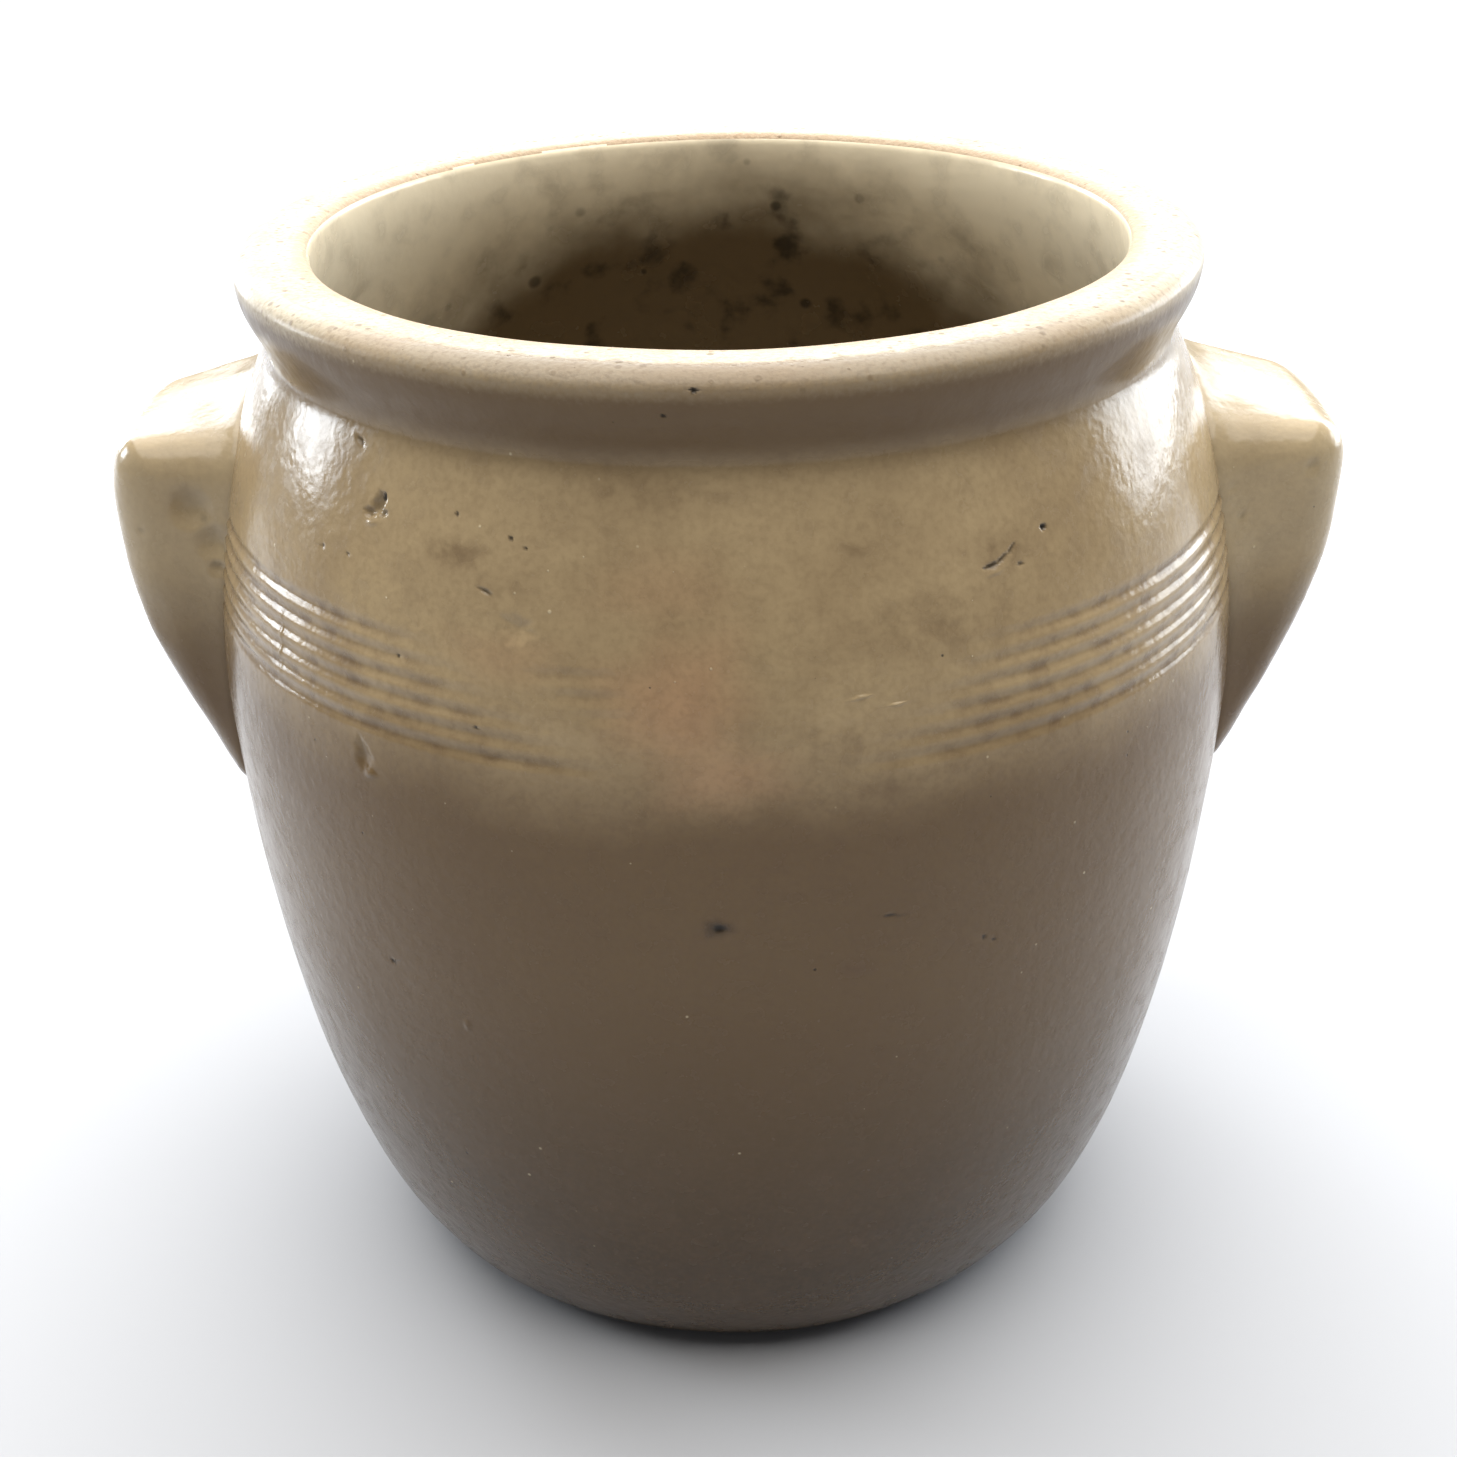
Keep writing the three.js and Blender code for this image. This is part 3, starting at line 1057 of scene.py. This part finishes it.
@dataclass
class Combing:
    """The potter's comb, pressed into the turning shoulder. Sizes are in millimetres."""

    first: Stroke = Stroke(-34.0, -18.0, 16.0, 31.0)
    second: Stroke = Stroke(-9.0, -12.0, 46.0, 70.0)
    teeth: int = 6
    pitch: float = 4.6
    depth: float = 0.65
    top: float = 225.7
    second_shift: float = 2.2
    second_slope: float = 0.05
    second_middle: float = -15.0
    second_share: float = 0.4
    shoulder_radius: float = 138.0
    left_lag: float = 4.0
    right_lag: float = 2.6

    def weights(self, places: np.ndarray) -> np.ndarray:
        """Say how deep the comb has gone at each place.

        Args:
            places: Places on the pot, in metres.

        Returns:
            1 at a groove's full depth, 0 where the comb has not touched.
        """
        azimuth = np.degrees(np.arctan2(places[:, 0], -places[:, 1]))
        turn = np.radians(azimuth)
        wander = 0.45 * np.sin(turn + 0.6) + 0.25 * np.sin(3 * turn + 2.0)
        height = places[:, 2] / MM - wander
        first = self.teeth_marks(height - self.top, azimuth, self.first)
        across = np.radians(azimuth - self.second_middle) * self.shoulder_radius
        below = height - self.top + self.second_shift - across * self.second_slope
        second = self.teeth_marks(below, azimuth, self.second)
        landed = smoothstep(-22.0, -17.0, azimuth) * smoothstep(-9.0, -12.0, azimuth)
        return np.maximum(first, second * landed * self.second_share)

    def teeth_marks(self, below: np.ndarray, azimuth: np.ndarray, stroke: Stroke) -> np.ndarray:
        """Shape one stroke of the comb.

        Args:
            below: Height over the top groove's middle at each place.
            azimuth: Degrees from the front at each place.
            stroke: Where it fades out and comes back.

        Returns:
            The stroke's depth, 0 to 1.
        """
        wave = 0.5 + 0.5 * np.cos(math.tau * below / self.pitch)
        tooth = np.clip(np.round(-below / self.pitch), 0, self.teeth - 1)
        inside = (below < self.pitch / 2) & (below > -(self.teeth - 0.5) * self.pitch)
        lag = tooth - (self.teeth - 1) / 2
        left = smoothstep(stroke.left_gone, stroke.left_full, azimuth - self.left_lag * lag)
        right = smoothstep(stroke.right_gone, stroke.right_full, azimuth + self.right_lag * lag)
        return np.where(inside, wave * np.maximum(left, right), 0)


@dataclass
class CrockBody:
    """The pot itself: one wall of clay from the foot to the rolled rim."""

    profile: WallProfile = field(default_factory=WallProfile)
    combing: Combing = field(default_factory=Combing)
    wheel_steps: int = 256
    swell_spacing: float = 60 * MM
    swell: float = 0.9 * MM
    # How dark the comb's grooves are painted: glaze pooled in them, and painted shade in their hollows.
    pooled_and_shaded: float = 0.55

    def build(self, finishes: Finishes) -> bpy.types.Object:
        """Throw, comb, mark and glaze the pot.

        Args:
            finishes: The crock's materials.

        Returns:
            The finished pot.
        """
        pot = draw_chain("crock_pot", self.profile.chain())
        throw_on_wheel(pot, self.wheel_steps)
        self.refine_marks(pot)
        self.comb(pot)
        make_uneven(pot, self.swell_spacing, self.swell)
        self.mark(pot)
        self.stain(pot)
        self.dress(pot, finishes)
        return pot

    def refine_marks(self, pot: bpy.types.Object) -> None:
        """Give the wall enough faces where a flaw will be pressed into it.

        Args:
            pot: The pot.
        """
        for cuts, margin, extra in ((2, 1.25, 2.4), (1, 1.15, 0.8)):
            centres = centres_of(pot)
            near = np.zeros(len(centres), dtype=bool)
            for flaw in FLAWS:
                wider = replace(flaw, breadth=flaw.breadth + extra, tall=flaw.tall + extra, edge=Edge.SOFT)
                near |= wider.reach(centres, margin) > 0
            subdivide_where(pot, near & self.profile.is_outside(centres), cuts)

    def comb(self, pot: bpy.types.Object) -> None:
        """Press the comb's grooves into the shoulder.

        Args:
            pot: The pot.
        """
        places = places_of(pot)
        weights = self.combing.weights(places) * self.profile.is_outside(places)
        press(pot, weights, self.combing.depth * MM)

    def mark(self, pot: bpy.types.Object) -> None:
        """Press the flaws in, and raise those that stand proud.

        Args:
            pot: The pot.
        """
        places = places_of(pot)
        for sign in (1, -1):
            deepest = max(flaw.depth * sign for flaw in FLAWS)
            total = np.zeros(len(places))
            for flaw in FLAWS:
                if flaw.depth * sign > 0:
                    total = np.maximum(total, flaw.reach(places) * flaw.depth * sign / deepest)
            press(pot, total * self.profile.is_outside(places), deepest * sign * MM)

    def stain(self, pot: bpy.types.Object) -> None:
        """Paint the grime in the flaws, the stains and the blushes, and the painted shade in the comb's
        grooves and across the belly.

        Args:
            pot: The pot.
        """
        places = places_of(pot)
        for name, marks in (("grime", FLAWS), ("stain", STAINS_AND_SHADOW), ("blush", BLUSHES)):
            total = np.zeros(len(places))
            for mark in marks:
                total = np.maximum(total, mark.reach(places) * mark.grime)
            # The comb's grooves are darkened too, partly by pooled glaze and partly by painted shade.
            if name == "stain":
                total = np.maximum(total, self.combing.weights(places) * self.pooled_and_shaded)
            paint(pot, name, total * self.profile.is_outside(places))

    def dress(self, pot: bpy.types.Object, finishes: Finishes) -> None:
        """Give each stretch of the pot its material and smooth its shading.

        Args:
            pot: The pot.
            finishes: The crock's materials.
        """
        for make in (finishes.outer_glaze, finishes.bare_lip, finishes.inner_glaze, finishes.foot_clay):
            pot.data.materials.append(make())
        centres = centres_of(pot)
        normals = np.empty(len(centres) * 3)
        pot.data.polygons.foreach_get("normal", normals)
        normals = normals.reshape(-1, 3)
        radius = np.hypot(centres[:, 0], centres[:, 1]) / MM
        outwards = (centres[:, :2] * normals[:, :2]).sum(axis=1)
        height = centres[:, 2] / MM
        profile = self.profile
        slot = np.zeros(len(centres), dtype=np.int32)
        slot[(radius < profile.lip_outer + 0.5) & (height > profile.height - 2.0)] = 1
        inside = (outwards < 0) & (height < profile.height - 1.2)
        slot[inside & (height > profile.floor_height - 3)] = 2
        slot[(radius < profile.floor_radius + 4) & (normals[:, 2] > 0.5) & (height < 60)] = 2
        slot[(height < 1.5) & (normals[:, 2] < -0.9) & (radius < profile.foot_radius + 0.5)] = 3
        pot.data.polygons.foreach_set("material_index", slot)
        take(pot)
        bpy.ops.object.shade_smooth()


@dataclass(frozen=True)
class Dent:
    """A fingertip's dent, a nick or a pit on a lug, as a place and sizes in millimetres."""

    out: float
    back: float
    height: float
    radius: float
    depth: float
    grime: float = 0.0

    def reach(self, places: np.ndarray, side: Side) -> np.ndarray:
        """Say how strongly each place lies in the dent, 1 in its middle and 0 at its edge.

        Args:
            places: Places on the lug, in metres.
            side: The side of the pot that the lug is on.

        Returns:
            A strength for each place.
        """
        middle = np.array([side.value * self.out, self.back, self.height]) * MM
        distance = np.linalg.norm(places - middle, axis=1) / (self.radius * MM)
        return np.clip(1 - distance**2, 0, 1) ** 2


@dataclass
class Lug:
    """A lug of clay shaped by hand and luted to the wall. Sizes are in millimetres."""

    side: Side
    node: str
    corner: Point
    top_height: float = 250.0
    reach: float = 161.0
    widest_height: float = 219.0
    heel: Point = (139.0, 152.0)
    breadth: float = 63.0
    edge_round: float = 8.0
    root_radius: float = 118.0
    tuck: float = 1.6
    clay_grid: float = 1.15
    hollow: Point = (142.0, 158.0)
    hollow_radius: float = 20.0
    hollow_stretch: tuple[float, float, float] = (0.85, 1.05, 2.0)
    luting_width: float = 9.0
    luting: float = 2.0
    tip_over: float = 10.0
    tip_end: float = 155.0
    slump: float = 3.0
    end_round: float = 5.0
    room_heights: Point = (100.0, 280.0)
    room_steps: int = 180
    swell_spacing: float = 26.0
    swell: float = 1.2
    darkening_between: Point = (200.0, 155.0)
    darkening: float = 0.5
    dents: tuple[Dent, ...] = ()

    def outline(self) -> list[Vector]:
        """Draw the lug's side view, a closed loop in the plane of its front face.

        Returns:
            The loop's places, in metres, the first one again at its end.
        """
        corner = self.corner
        tip = (self.reach, self.widest_height)
        shelf = [(self.root_radius, self.top_height + 3.0), (self.reach - 36, self.top_height), corner]
        nose = bezier(corner, (corner[0] + 8, corner[1] - 4), (self.reach, tip[1] + 13), tip, 8)
        sweep = bezier(tip, (self.reach, tip[1] - 24), (self.heel[0] + 12, self.heel[1] + 18), self.heel, 10)
        foot = [(self.root_radius, self.heel[1] - 24.0)]
        loop = [*shelf, *nose, *sweep, *foot, shelf[0]]
        front = -self.breadth / 2 * MM
        return [Vector((self.side.value * x * MM, front, z * MM)) for x, z in loop]

    def block_out(self) -> bpy.types.Object:
        """Fill the outline, give it the lug's breadth and round its two long edges.

        Returns:
            The lug, a closed block of clay.
        """
        lug = draw_chain(f"{self.side.name.lower()}_lug", self.outline())
        take(lug)
        bpy.ops.object.mode_set(mode="EDIT")
        bpy.ops.mesh.select_all(action="SELECT")
        bpy.ops.mesh.remove_doubles(threshold=WELD)
        bpy.ops.mesh.edge_face_add()
        move = {"value": (0, self.breadth * MM, 0)}
        bpy.ops.mesh.extrude_region_move(TRANSFORM_OT_translate=move)
        bpy.ops.object.mode_set(mode="OBJECT")
        close_up(lug)
        self.round_edges(lug)
        return lug

    def round_edges(self, lug: bpy.types.Object) -> None:
        """Bevel the edges of the front and the back face.

        Args:
            lug: The lug.
        """
        places = places_of(lug)
        half = self.breadth / 2 * MM
        bpy.ops.object.mode_set(mode="EDIT")
        bpy.ops.mesh.select_mode(type="EDGE")
        bpy.ops.mesh.select_all(action="DESELECT")
        bpy.ops.object.mode_set(mode="OBJECT")
        for edge in lug.data.edges:
            ends = places[list(edge.vertices)]
            edge.select = bool(abs(ends[0][1] - ends[1][1]) < half)
        bpy.ops.object.mode_set(mode="EDIT")
        bpy.ops.mesh.bevel(offset=self.edge_round * MM, segments=6, affect="EDGES", clamp_overlap=False)
        bpy.ops.mesh.select_mode(type="VERT")
        bpy.ops.object.mode_set(mode="OBJECT")

    def scoop(self, lug: bpy.types.Object) -> None:
        """Hollow the underside for the fingers.

        Args:
            lug: The lug.
        """
        clear_selection()
        out, height = self.hollow
        place = (self.side.value * out * MM, 0, height * MM)
        size = self.hollow_radius * MM
        bpy.ops.mesh.primitive_uv_sphere_add(segments=32, ring_count=20, radius=size, location=place)
        thumb = bpy.context.object
        bpy.ops.object.mode_set(mode="EDIT")
        bpy.ops.mesh.select_all(action="SELECT")
        bpy.ops.transform.resize(value=self.hollow_stretch)
        bpy.ops.object.mode_set(mode="OBJECT")
        apply_modifier(lug, "BOOLEAN", operation="DIFFERENCE", object=thumb, solver="EXACT")
        bpy.data.objects.remove(thumb)

    def knead(self, lug: bpy.types.Object) -> None:
        """Turn the block into an even skin of clay and soften it."""
        apply_modifier(lug, "REMESH", mode="VOXEL", voxel_size=self.clay_grid * MM)
        apply_modifier(lug, "SMOOTH", factor=0.6, iterations=10)

    def sag(self, lug: bpy.types.Object) -> None:
        """Tip the shelf towards the front where it runs up to the neck, and round its end.

        Args:
            lug: The lug.
        """
        places = places_of(lug) / MM
        out = np.abs(places[:, 0])
        across = places[:, 1] * 2 / self.breadth
        near = np.clip((self.tip_end - out) / (self.tip_end - self.root_radius - 6), 0, 1)
        near *= smoothstep(196, 244, places[:, 2])
        press(lug, near * (1 - across) / 2, self.tip_over * MM, "Z")
        press(lug, near * across**2, self.slump * MM, "Z")
        end = smoothstep(self.root_radius + 12, self.reach, out)
        press(lug, across**4 * end, self.side.value * self.end_round * MM, "X")

    def lute(self, lug: bpy.types.Object, profile: WallProfile) -> None:
        """Spread the lug's clay where it meets the wall, and trim it to the wall.

        Args:
            lug: The lug.
            profile: The pot's section.
        """
        places = places_of(lug)
        wall = profile.outside()
        surface = np.interp(places[:, 2] / MM, wall[:, 1], wall[:, 0])
        proud = np.hypot(places[:, 0], places[:, 1]) / MM - surface
        spread = np.clip(1 - proud / self.luting_width, 0, 1) ** 2
        press(lug, spread, -self.luting * MM)
        apply_modifier(lug, "SMOOTH", factor=0.5, iterations=4)

        low, high = self.room_heights
        tucked = [(r - self.tuck, h) for r, h in wall if h > low]
        inner = [(0.0, low), *tucked, (profile.neck[0], high), (0.0, high)]
        room = draw_chain("wall_room", [Vector((r * MM, 0, h * MM)) for r, h in inner])
        throw_on_wheel(room, self.room_steps)
        apply_modifier(lug, "BOOLEAN", operation="DIFFERENCE", object=room, solver="EXACT")
        bpy.data.objects.remove(room)
        close_up(lug)

    def dent(self, lug: bpy.types.Object) -> None:
        """Press the finger marks in and paint what has settled in them.

        Args:
            lug: The lug.
        """
        places = places_of(lug)
        deepest = max(dent.depth for dent in self.dents)
        total = np.zeros(len(places))
        for dent in self.dents:
            total = np.maximum(total, dent.reach(places, self.side) * dent.depth / deepest)
        press(lug, total, deepest * MM)
        grime = np.zeros(len(places))
        for dent in self.dents:
            grime = np.maximum(grime, dent.reach(places, self.side) * dent.grime)
        paint(lug, "grime", grime)
        # The lug is painted darker towards its lower end.
        under = smoothstep(*self.darkening_between, places[:, 2] / MM)
        paint(lug, "stain", under * self.darkening)
        paint(lug, "blush", np.zeros(len(places)))

    def build(self, profile: WallProfile, material: bpy.types.Material) -> bpy.types.Object:
        """Shape, lute and glaze the lug.

        Args:
            profile: The pot's section, which the lug is trimmed to.
            material: The lugs' glaze.

        Returns:
            The finished lug.
        """
        lug = self.block_out()
        self.scoop(lug)
        self.knead(lug)
        self.sag(lug)
        self.lute(lug, profile)
        make_uneven(lug, self.swell_spacing * MM, self.swell * MM)
        self.dent(lug)
        lug.data.materials.append(material)
        take(lug)
        bpy.ops.object.shade_smooth()
        return lug


def lug_pair() -> tuple[Lug, Lug]:
    """Describe the two lugs, which the potter made alike but not the same.

    Returns:
        The left lug and the right one.
    """
    left = Lug(
        Side.LEFT, "left_lug_handle", (154.0, 243.4), top_height=253.5, widest_height=216.0, reach=161.5,
        end_round=7.0,
        dents=(
            Dent(138.0, -31.5, 226.5, 7.0, 2.3),
            Dent(132.5, -31.5, 217.0, 6.5, 2.1),
            Dent(132.5, -31.5, 210.4, 3.2, 2.4, 0.12),
            Dent(150.0, -31.5, 196.0, 11.0, 1.0),
            Dent(152.2, -31.0, 220.2, 1.5, 0.7, 0.7),
            Dent(135.1, -31.5, 223.5, 1.5, 0.7, 0.5),
        ),
    )
    right = Lug(
        Side.RIGHT, "right_lug_handle", (156.5, 241.2), top_height=251.8, widest_height=221.0, reach=163.0,
        dents=(
            Dent(127.6, -22.0, 247.0, 1.8, 0.7, 0.4),
            Dent(151.7, -31.0, 231.5, 2.6, 0.9, 0.1),
            Dent(131.0, -31.5, 226.8, 2.0, 0.9, 0.1),
            Dent(134.4, -31.5, 218.7, 1.5, 0.7, 0.7),
            Dent(143.0, -31.5, 205.0, 12.0, 0.9),
        ),
    )
    return left, right


@dataclass
class Studio:
    """The pale floor, the soft lights and the camera."""

    camera_place: tuple[float, float, float] = (0.0, -0.536, 0.426)
    camera_pitch: float = 27.37
    camera_roll: float = -1.22
    lens: float = 51.6
    shift: float = -0.013
    floor_half: float = 4.0
    floor_colour: Colour = srgb(182, 182, 184)

    def build(self) -> None:
        """Set up the whole studio."""
        self.lay_floor()
        self.light()
        self.place_camera()

    def lay_floor(self) -> None:
        """Lay a plain pale floor."""
        clear_selection()
        half = self.floor_half
        bpy.ops.mesh.primitive_plane_add(size=2 * half, location=(0, 0, 0))
        floor = bpy.context.object
        floor.name = "studio_floor"
        bpy.ops.object.transform_apply(location=True, rotation=True, scale=True)
        material = bpy.data.materials.new("pale_floor")
        material.use_nodes = True
        shader = material.node_tree.nodes["Principled BSDF"]
        shader.inputs["Base Color"].default_value = self.floor_colour
        shader.inputs["Roughness"].default_value = 0.9
        floor.data.materials.append(material)

    def light(self) -> None:
        """Hang the soft lights: windows at both sides and behind, and a dim room in front."""
        warm = (1.0, 0.985, 0.955)
        cool = (0.88, 0.94, 1.0)
        self.window("skylight", (0.0, 0.1, 1.5), (2.3, 2.3), 62, warm)
        self.window("left_window", (-1.5, 0.46, 0.5), (0.46, 0.42), 10, cool)
        self.window("left_back_window", (-1.05, 1.25, 0.42), (0.5, 0.6), 13, cool)
        self.window("right_window", (1.3, 0.75, 0.47), (1.2, 0.62), 23, cool)
        self.window("back_window", (0.0, 2.4, 1.0), (3.4, 0.8), 22, cool)
        self.window("floor_wash", (0.0, 2.9, 1.7), (4.5, 1.6), 120, cool, (0.0, 2.6, 0.0))
        world = bpy.data.worlds.new("room")
        bpy.context.scene.world = world
        world.use_nodes = True
        background = world.node_tree.nodes["Background"]
        background.inputs["Color"].default_value = (0.92, 0.95, 1.0, 1.0)
        background.inputs["Strength"].default_value = 0.13

    def window(
        self, name: str, place: tuple[float, float, float], size: Point, power: float,
        colour: tuple[float, float, float], target: tuple[float, float, float] = (0.0, 0.0, 0.15),
    ) -> None:
        """Hang one rectangular light.

        Args:
            name: The light's name.
            place: Its middle.
            size: Its width and height, in metres.
            power: Its power in watts.
            colour: Its colour.
            target: The place that it faces, the pot's middle unless told otherwise.
        """
        lamp = bpy.data.lights.new(name, "AREA")
        lamp.shape = "RECTANGLE"
        lamp.size, lamp.size_y = size
        lamp.energy = power
        lamp.color = colour
        holder = bpy.data.objects.new(name, lamp)
        bpy.context.scene.collection.objects.link(holder)
        holder.location = place
        aim = Vector(target) - Vector(place)
        holder.rotation_euler = aim.to_track_quat("-Z", "Y").to_euler()

    def place_camera(self) -> None:
        """Stand the camera in front of the pot, looking down on it."""
        lens = bpy.data.cameras.new("camera")
        lens.lens = self.lens
        lens.shift_y = self.shift
        lens.clip_start = 0.05
        camera = bpy.data.objects.new("camera", lens)
        bpy.context.scene.collection.objects.link(camera)
        camera.location = self.camera_place
        camera.rotation_mode = "ZYX"
        camera.rotation_euler = (math.radians(90 - self.camera_pitch), 0, math.radians(self.camera_roll))
        bpy.context.scene.camera = camera


def main() -> None:
    """Build the crock's pieces in order and stand them in the studio."""
    logging.basicConfig(level=logging.INFO, format="%(name)s: %(message)s")
    bpy.context.scene.view_settings.view_transform = "Standard"
    finishes = Finishes()
    body = CrockBody()
    pot = body.build(finishes)
    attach(pot, "root")
    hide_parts("crock_body")
    log.info("%s: %d faces", pot.name, len(pot.data.polygons))

    glaze = finishes.lug_glaze()
    for lug in lug_pair():
        piece = lug.build(body.profile, glaze)
        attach(piece, "root")
        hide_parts(lug.node)
        log.info("%s: %d faces", piece.name, len(piece.data.polygons))

    Studio().build()


if __name__ == "__main__":
    main()
